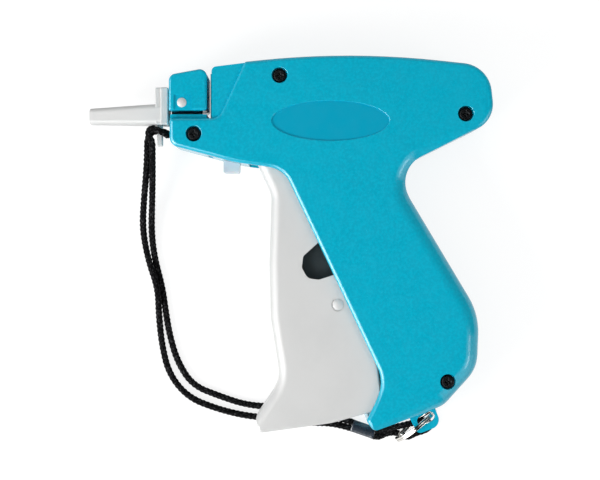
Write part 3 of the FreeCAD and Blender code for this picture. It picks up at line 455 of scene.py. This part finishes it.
def natural_nylon():
    """Waxy milky nylon."""
    material, tree, shader = new_material(
        "natural_nylon", Subsurface_Weight=0.15, Subsurface_Scale=0.001, Roughness=0.45
    )
    where = object_space(tree)
    paint(tree, shader, noise(tree, where, 160.0, 3.0), NYLON)
    bump(tree, shader, noise(tree, where, 1200.0, 2.0), 0.00002, 0.3)
    return material


def black_acetal():
    """Dark moulded plastic of the mechanism, slightly blue."""
    material, tree, shader = new_material("black_acetal", Specular_IOR_Level=0.5)
    where = object_space(tree)
    paint(tree, shader, noise(tree, where, 200.0, 4.0), ACETAL)
    uneven_gloss(tree, shader, noise(tree, where, 500.0, 4.0), (0.30, 0.48))
    bump(tree, shader, noise(tree, where, 1800.0, 2.0), 0.00002, 0.3)
    return material


def milky_button():
    """Translucent pale grey-blue plastic."""
    material, tree, shader = new_material(
        "milky_button",
        Transmission_Weight=0.25, IOR=1.45, Subsurface_Weight=0.2, Subsurface_Scale=0.002,
    )
    where = object_space(tree)
    paint(tree, shader, noise(tree, where, 180.0, 3.0), MILKY)
    uneven_gloss(tree, shader, noise(tree, where, 400.0, 3.0), (0.30, 0.42))
    bump(tree, shader, noise(tree, where, 1500.0, 2.0), 0.00002, 0.3)
    return material


def bright_steel():
    """Drawn steel: fine scratches run along the needle and the rods."""
    material, tree, shader = new_material("bright_steel", Metallic=1.0)
    paint(tree, shader, noise(tree, object_space(tree), 120.0, 3.0), STEEL)
    scratch = noise(tree, object_space(tree, (0.03, 1.0, 1.0)), 6000.0, 2.0, 0.6)
    uneven_gloss(tree, shader, scratch, (0.16, 0.34))
    bump(tree, shader, scratch, 0.000008, 0.4)
    return material


def nickel_plate():
    """Bright plated wire with small scuffs and a warm cast."""
    material, tree, shader = new_material("nickel_plate", Metallic=1.0)
    where = object_space(tree)
    scuffs = ramp(tree, noise(tree, where, 900.0, 6.0, 0.7), 0.50, 0.72)
    paint(tree, shader, scuffs, NICKEL)
    rough = maths(tree, "ADD", maths(tree, "MULTIPLY", scuffs, 0.22), 0.10)
    tree.links.new(rough, shader.inputs["Roughness"])
    bump(tree, shader, noise(tree, where, 2400.0, 3.0), 0.000010, 0.4)
    return material


def black_oxide():
    """Blackened screw steel, a little polished by the driver, in random patches."""
    material, tree, shader = new_material("black_oxide", Metallic=0.85)
    where = object_space(tree)
    worn = ramp(tree, noise(tree, where, 1500.0, 5.0, 0.65), 0.56, 0.78)
    paint(tree, shader, worn, OXIDE)
    tree.links.new(ramp(tree, worn, 0.0, 1.0, 0.42, 0.24), shader.inputs["Roughness"])
    bump(tree, shader, noise(tree, where, 3000.0, 3.0), 0.000010, 0.5)
    return material


def dark_vinyl():
    """Shrunk vinyl sleeve: glossy, near black with a blue cast."""
    material, tree, shader = new_material(
        "dark_vinyl", Coat_Weight=0.8, Coat_Roughness=0.06, Roughness=0.25
    )
    where = object_space(tree)
    paint(tree, shader, noise(tree, where, 300.0, 3.0), VINYL)
    bump(tree, shader, noise(tree, where, 500.0, 3.0), 0.00006, 0.5)
    return material


def black_braid():
    """Braided nylon yarn with a fuzzy surface and very little gloss, and light specks painted on as
    glints.
    """
    material, tree, shader = new_material(
        "black_braid", Sheen_Weight=0.02, Sheen_Roughness=0.4, Specular_IOR_Level=0.06
    )
    where = object_space(tree)
    fuzz_and_glints = noise(tree, where, 1300.0, 4.0, 0.60)
    # painted highlight: the lighter tone in the specks stands in for glints on the strands; the same
    # noise also varies roughness
    paint(tree, shader, ramp(tree, fuzz_and_glints, 0.50, 0.70), YARN_AND_GLINTS)
    tree.links.new(ramp(tree, fuzz_and_glints, 0.2, 0.8, 0.95, 0.80), shader.inputs["Roughness"])
    bump(tree, shader, noise(tree, where, 5200.0, 4.0, 0.7), 0.00012, 0.7)
    return material


SLOT_MATERIALS = {
    "teal": teal_plastic,
    "white": pale_plastic,
    "screw": black_oxide,
    "steel": bright_steel,
    "nickel": nickel_plate,
    "hub": natural_nylon,
    "black_plastic": black_acetal,
    "button": milky_button,
    "sleeve": dark_vinyl,
    "cord": black_braid,
}


def dress_nodes():
    """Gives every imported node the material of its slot, and returns the materials by slot."""
    made = {slot: make() for slot, make in SLOT_MATERIALS.items()}
    for part in frame["record"]["subparts"]:
        piece = frame["nodes"][part["node"]]
        for holder in piece.material_slots:
            holder.material = made[part["material_slot"]]
    return made


# ---- Mesh helpers ----
def clamp(value, low=0.0, high=1.0):
    """The value, kept between two limits."""
    return max(low, min(high, value))


def angles_round(count):
    """Equal steps once round, in radians."""
    return [2 * math.pi * k / count for k in range(count)]


def turned_axes(degrees):
    """Two level directions at right angles, turned from +X and +Y."""
    turn = math.radians(degrees)
    along = Vector((math.cos(turn), math.sin(turn), 0))
    across = Vector((-math.sin(turn), math.cos(turn), 0))
    return along, across


def new_piece(name, mesh_builder, material):
    """A smooth-shaded mesh object from a bmesh."""
    mesh = bpy.data.meshes.new(name)
    bmesh.ops.recalc_face_normals(mesh_builder, faces=mesh_builder.faces)
    mesh_builder.to_mesh(mesh)
    mesh_builder.free()
    mesh.materials.append(material)
    for face in mesh.polygons:
        face.use_smooth = True
    piece = bpy.data.objects.new(name, mesh)
    bpy.context.collection.objects.link(piece)
    return piece


def sweep(name, rings, material):
    """A closed tube through rings of points, with flat ends."""
    builder = bmesh.new()
    loops = [[builder.verts.new(point) for point in ring] for ring in rings]
    count = len(loops[0])
    for before, after in zip(loops, loops[1:]):
        for i in range(count):
            j = (i + 1) % count
            builder.faces.new((before[i], before[j], after[j], after[i]))
    builder.faces.new(loops[0][::-1])
    builder.faces.new(loops[-1])
    return new_piece(name, builder, material)


# ---- Cords ----
def spline_points(route, name):
    """The route's smooth line, read back as points a small step apart."""
    data = bpy.data.curves.new(name, "CURVE")
    data.dimensions = "3D"
    spline = data.splines.new("NURBS")
    spline.points.add(len(route) - 1)
    for point, place in zip(spline.points, route):
        point.co = (*(c * MM for c in place), 1.0)
    spline.order_u = 3
    spline.use_endpoint_u = True
    data.resolution_u = 64
    guide = bpy.data.objects.new(name, data)
    mesh = bpy.data.meshes.new_from_object(guide)
    dense = [v.co.copy() for v in mesh.vertices]
    bpy.data.objects.remove(guide)
    bpy.data.curves.remove(data)
    bpy.data.meshes.remove(mesh)
    kept = [dense[0]]
    for place in dense[1:-1]:
        if (place - kept[-1]).length >= BRAID_STEP * MM:
            kept.append(place)
    kept.append(dense[-1])
    return kept


def frames_along(points):
    """Each point, with two steady directions across the line there."""
    result = []
    side = None
    for i, point in enumerate(points):
        ahead = points[min(i + 1, len(points) - 1)] - points[max(i - 1, 0)]
        ahead.normalize()
        if side is None:
            side = ahead.orthogonal()
        side = side - ahead * side.dot(ahead)
        side.normalize()
        result.append((point, side, ahead.cross(side)))
    return result


def braid_height(angle, along):
    """Height of the braid's surface, 0 to 1, at an angle round the cord and a distance along it."""
    spin = 2 * math.pi * along / (BRAID_PITCH * MM)
    first = BRAID_CARRIERS * (angle + spin) / 2
    second = BRAID_CARRIERS * (angle - spin) / 2
    return math.sqrt(abs(math.cos(first) * math.cos(second)))


def swell_at(along, seed):
    """The cord's radius there, as a share of its own."""
    swell = 1.0
    for wave, (share, rate) in enumerate(BRAID_SWELLS, 1):
        swell += share * math.sin(along * rate + wave * seed)
    return swell


def braided_cord(name, route, material, seed):
    """A round cord with its braid modelled in the surface, and the points that it follows."""
    points = spline_points(route, f"{name}_guide")
    rings = []
    along = 0.0
    before = points[0]
    for place, side, up in frames_along(points):
        along += (place - before).length
        before = place
        radius = CORD_D / 2 * MM * swell_at(along, seed)
        ring = []
        for angle in angles_round(BRAID_SIDES):
            sunk = BRAID_RELIEF * (1.0 - braid_height(angle, along))
            reach = radius + (BRAID_PROUD - sunk) * MM
            point = place + (side * math.cos(angle) + up * math.sin(angle)) * reach
            point.z = max(point.z, 0.0)
            ring.append(point)
        rings.append(ring)
    return sweep(name, rings, material), points


def make_lanyard(material):
    """One cord: out of the sleeve, up to the cap's post, round it and back."""
    route = OUTER_ROUTE + HITCH_ROUTE[1:-1] + INNER_ROUTE[::-1]
    cord, path = braided_cord("lanyard_cord", route, material, 0.3)
    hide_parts("lanyard_outer_strand", "lanyard_inner_strand", "lanyard_hitch")
    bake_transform(cord)
    return cord, path


def make_tail(material):
    """The short doubled end that loops round the split ring."""
    cord, path = braided_cord("tail_cord", TAIL_ROUTE, material, 1.7)
    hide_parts("lanyard_tail")
    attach(cord, "body")
    return cord, path


# ---- Sleeve ----
def squared(value):
    """A coordinate of a circle, moved out towards that of a square."""
    return math.copysign(abs(value) ** SLEEVE_SQUARENESS, value)


def sleeve_stations():
    """Places along the sleeve from -1 to 1, with its size at each as a share of its full one."""
    middle = [(-0.60 + 0.2 * i, 0.97 + 0.012 * (i % 2)) for i in range(SLEEVE_WAVES)]
    return SLEEVE_TAPER + middle + [(-place, size) for place, size in reversed(SLEEVE_TAPER)]


def make_sleeve(material):
    """A vinyl sleeve pressed flat over both cords, its ends drawn in, with a ridge along its top."""
    length, width, height = SLEEVE_SIZE
    along, across = turned_axes(SLEEVE_TURN)
    centre = Vector((*SLEEVE_CENTRE, SLEEVE_Z)) * MM
    rings = []
    for place, size in sleeve_stations():
        ring = []
        for angle in angles_round(SLEEVE_SIDES):
            ridge = SLEEVE_RIDGE * math.exp(-((angle - math.pi / 2) / SLEEVE_RIDGE_WIDTH) ** 2)
            point = centre + along * (place * length / 2 * MM)
            point += across * (squared(math.cos(angle)) * size * width / 2 * MM)
            point.z += squared(math.sin(angle)) * (size * height / 2 - SLEEVE_RIDGE + ridge) * MM
            ring.append(point)
        rings.append(ring)
    sleeve = sweep("vinyl_sleeve", rings, material)
    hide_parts("crimp_sleeve")
    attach(sleeve, "body")
    return sleeve


# ---- Ring ----
def ring_section():
    """The wire's section, a rounded rectangle: its points' radial and axial offsets."""
    half_radial = RING_RADIAL / 2
    half_axial = RING_AXIAL / 4 - RING_COIL_GAP / 2
    outline = []
    for side, end, start in ((1, 1, 0), (-1, 1, 90), (-1, -1, 180), (1, -1, 270)):
        for step in range(5):
            angle = math.radians(start + 22.5 * step)
            outline.append((
                side * (half_radial - RING_CORNER) + RING_CORNER * math.cos(angle),
                end * (half_axial - RING_CORNER) + RING_CORNER * math.sin(angle),
            ))
    return outline


def make_split_ring(material):
    """Flat wire wound twice round, stepping from one coil to the other."""
    low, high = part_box("split_ring")
    centre = (Vector(low) + Vector(high)) / 2
    along, axis = turned_axes(RING_TURN)
    up = Vector((0, 0, 1))
    step_over = math.radians(RING_STEP_OVER)
    opens_at = math.radians(RING_OPENS_AT)
    section = ring_section()
    rings = []
    for i in range(RING_STEPS + 1):
        angle = step_over + (4 * math.pi - 2 * step_over) * i / RING_STEPS
        crossing = clamp((angle - 2 * math.pi) / step_over, -1.0, 1.0)
        layer = RING_AXIAL / 4 * math.sin(crossing * math.pi / 2)
        spoke = along * math.cos(angle + opens_at) + up * math.sin(angle + opens_at)
        rings.append([
            centre + spoke * ((RING_R + radial) * MM) + axis * ((layer + axial) * MM)
            for radial, axial in section
        ])
    ring = sweep("ring_coils", rings, material)
    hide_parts("split_ring")
    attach(ring, "split_ring")


# ---- Screws and pins ----
def turned_rings(centre, profile, sides, height=None):
    """Rings of points round a vertical axis from (radius, z) pairs, moved by a height function."""
    rings = []
    for radius, z in profile:
        ring = []
        for angle in angles_round(sides):
            dx, dy = radius * math.cos(angle), radius * math.sin(angle)
            lift = height(dx, dy, z) if height else 0.0
            ring.append(Vector((centre[0] + dx, centre[1] + dy, z + lift)) * MM)
        rings.append(ring)
    return rings


def driver_recess(dx, dy, z):
    """Height of a cross recess with a square well and a pip in its middle, from the head's top."""
    if z < SCREW_TOP - TOP_DEPTH:
        return 0.0
    dx, dy = abs(dx), abs(dy)
    long_way, short_way = max(dx, dy), min(dx, dy)
    arm = clamp((ARM_SIDE - short_way) / ARM_SIDE_SLOPE) * clamp((ARM_END - long_way) / ARM_END_SLOPE)
    well = clamp((WELL - dx - dy) / WELL_SLOPE)
    pip = clamp((PIP - dx - dy) / PIP_SLOPE)
    return -ARM_DEPTH * arm - WELL_DEPTH * well * (1.0 - WELL_LESS * arm) + PIP_HEIGHT * pip


def screw_profile():
    """The screw from the middle of its head outwards and down to its point."""
    across, down = HEAD_ROUND
    flat = SCREW_HEAD_R - across
    profile = [(CORE_R + (flat - CORE_R) * i / HEAD_STEPS, SCREW_TOP) for i in range(HEAD_STEPS + 1)]
    for step in range(1, EDGE_STEPS + 1):
        a = math.radians(90 * step / EDGE_STEPS)
        profile.append((flat + across * math.sin(a), SCREW_TOP - down + down * math.cos(a)))
    under = SCREW_TOP - SCREW_HEAD
    profile += [(SCREW_HEAD_R, under), (SCREW_R + NECK_FLARE, under)]
    profile.append((SCREW_R - NECK_FLARE, under - NECK_LENGTH))
    start = under - THREAD_START
    end = SCREW_TIP + POINT_LENGTH
    length = start - end
    for i in range(THREAD_TURNS):
        z = start - length * i / THREAD_TURNS
        crest = z - THREAD_CREST * length / THREAD_TURNS
        profile += [(SCREW_R - THREAD_DEPTH, z), (SCREW_R, crest)]
    profile += [(POINT_R[0], end - POINT_GAP), (POINT_R[1], SCREW_TIP)]
    return profile


def make_screws(material):
    """Four cross-head screws."""
    screws = []
    for centre in SCREWS:
        rings = turned_rings(centre, screw_profile(), SCREW_SIDES, driver_recess)
        screws.append(sweep("screw", rings, material))
    first, rest = screws[0], screws[1:]
    for screw in rest:
        screw.parent = first
    first.name = "screws"
    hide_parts("case_screws")
    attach(first, "body")


def domed_pin(name, node, body, centre, radius, ends, dome, material):
    """A cross pin, domed at both ends, in place of a CAD node."""
    low, high = ends
    steps = range(DOME_STEPS + 1)
    cap = [(radius * i / DOME_STEPS, dome * (1 - (i / DOME_STEPS) ** 2)) for i in steps]
    cap[0] = (CORE_R, dome)
    profile = [(r, high - dome + rise) for r, rise in cap]
    profile += [(r, low + dome - rise) for r, rise in reversed(cap)]
    pin = sweep(name, turned_rings(centre, profile, PIN_SIDES), material)
    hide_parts(node)
    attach(pin, body)


def make_pins(material):
    """The nose cover's pin, and the link pin, which stands a little out of the trigger's sides."""
    domed_pin(
        "domed_pin", "cover_pin", "nose_cover",
        COVER_PIN, COVER_PIN_R, COVER_PIN_Z, COVER_PIN_DOME, material,
    )
    low, high = (corner[2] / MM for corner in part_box("link_pin"))
    domed_pin(
        "link_stud", "link_pin", "trigger",
        LINK_PIN, LINK_PIN_R, (low - LINK_PIN_PROUD, high + LINK_PIN_PROUD), LINK_PIN_DOME, material,
    )


# ---- Stage ----
def seen_rays(tree):
    """Light path outputs that are 1 for camera, glossy and transmission rays."""
    light = add(tree, "ShaderNodeLightPath")
    return [light.outputs[f"Is {kind} Ray"] for kind in ("Camera", "Glossy", "Transmission")]


def make_floor():
    """A pale level plane that looks white, but lights the object only dimly."""
    mesh = bpy.data.meshes.new("floor")
    half = FLOOR_HALF
    corners = [(-half, -half, 0), (half, -half, 0), (half, half, 0), (-half, half, 0)]
    mesh.from_pydata(corners, [], [(0, 1, 2, 3)])
    floor = bpy.data.objects.new("floor", mesh)
    bpy.context.collection.objects.link(floor)
    material, tree, shader = new_material(
        "floor", Roughness=0.9, Specular_IOR_Level=0.1,
        Base_Color=(FLOOR_COLOUR, FLOOR_COLOUR, FLOOR_COLOUR, 1), Emission_Color=(1, 1, 1, 1),
    )
    camera, glossy, through = seen_rays(tree)
    seen = maths(tree, "MAXIMUM", maths(tree, "MAXIMUM", camera, glossy), through)
    tree.links.new(maths(tree, "MULTIPLY", seen, FLOOR_GLOW), shader.inputs["Emission Strength"])
    mesh.materials.append(material)


def area_light(name, place, target, size, power):
    """A rectangular lamp that faces its target."""
    data = bpy.data.lights.new(name, "AREA")
    data.shape = "RECTANGLE"
    data.size, data.size_y = size
    data.energy = power
    lamp = bpy.data.objects.new(name, data)
    bpy.context.collection.objects.link(lamp)
    lamp.location = place
    facing = Vector(target) - Vector(place)
    lamp.rotation_euler = facing.to_track_quat("-Z", "Y").to_euler()


def softbox(tree, direction):
    """A round lit area of the room, soft at its edge, seen in reflections."""
    azimuth, height = (math.radians(a) for a in SOFTBOX)
    half, fade = math.radians(SOFTBOX_HALF), math.radians(SOFTBOX_FADE)
    flat = math.cos(height)
    towards = (math.cos(azimuth) * flat, math.sin(azimuth) * flat, math.sin(height))
    low, high = math.cos(half + fade), math.cos(half - fade)
    return ramp(tree, dot_with(tree, direction, towards), low, high, 0.0, SOFTBOX_GLOW)


def lit_screen(tree, direction):
    """A sharp-edged upright screen of light on the right, seen in reflections."""
    start, end = (math.radians(a) for a in SCREEN)
    edge = SCREEN_EDGE
    top = math.sin(math.radians(SCREEN_TOP))
    after = dot_with(tree, direction, (-math.sin(start), math.cos(start), 0.0))
    before = dot_with(tree, direction, (math.sin(end), -math.cos(end), 0.0))
    height = dot_with(tree, direction, (0.0, 0.0, 1.0))
    inside = maths(tree, "MULTIPLY", ramp(tree, after, -edge, edge), ramp(tree, before, -edge, edge))
    return maths(tree, "MULTIPLY", inside, ramp(tree, height, top - edge, top + edge, SCREEN_GLOW, 0.0))


def mirrored_room(tree):
    """Brightness of the room in reflections: a fade upwards, darker on the right, and two lit areas."""
    direction = add(tree, "ShaderNodeTexCoord").outputs["Generated"]
    split = add(tree, "ShaderNodeSeparateXYZ")
    tree.links.new(direction, split.inputs["Vector"])
    fade = ramp(tree, split.outputs["Z"], *ZENITH_FADE, HORIZON, ZENITH)
    dim = ramp(tree, split.outputs["X"], *SIDE_FADE, 1.0, 1.0 - SIDE_DIM)
    room = maths(tree, "MULTIPLY", fade, dim)
    for area in (softbox, lit_screen):
        room = maths(tree, "ADD", room, area(tree, direction))
    return room


def make_world():
    """White to the camera and through the button, the mirrored room in gloss, dim light elsewhere."""
    world = bpy.data.worlds.new("studio")
    bpy.context.scene.world = world
    world.use_nodes = True
    tree = world.node_tree
    background = tree.nodes["Background"]
    background.inputs["Color"].default_value = (1, 1, 1, 1)
    camera, glossy, through = seen_rays(tree)
    plain = maths(tree, "MAXIMUM", camera, through)
    gloss = maths(tree, "MULTIPLY", mirrored_room(tree), glossy)
    other = maths(tree, "SUBTRACT", 1.0, maths(tree, "MAXIMUM", plain, glossy))
    lit = maths(tree, "MULTIPLY", other, AMBIENT)
    strength = maths(tree, "ADD", maths(tree, "MAXIMUM", plain, gloss), lit)
    tree.links.new(strength, background.inputs["Strength"])


# ---- Build ----
def main():
    """Camera and cords first, then the other pieces and the stage."""
    make_camera()
    materials = dress_nodes()
    lanyard, lanyard_path = make_lanyard(materials["cord"])
    tail, tail_path = make_tail(materials["cord"])
    sleeve = make_sleeve(materials["sleeve"])
    make_split_ring(materials["nickel"])
    make_screws(materials["screw"])
    make_pins(materials["white"])
    make_floor()
    make_world()
    for name, lamp in LAMPS.items():
        area_light(name, *lamp)
    bpy.context.scene.view_settings.view_transform = "Standard"


main()
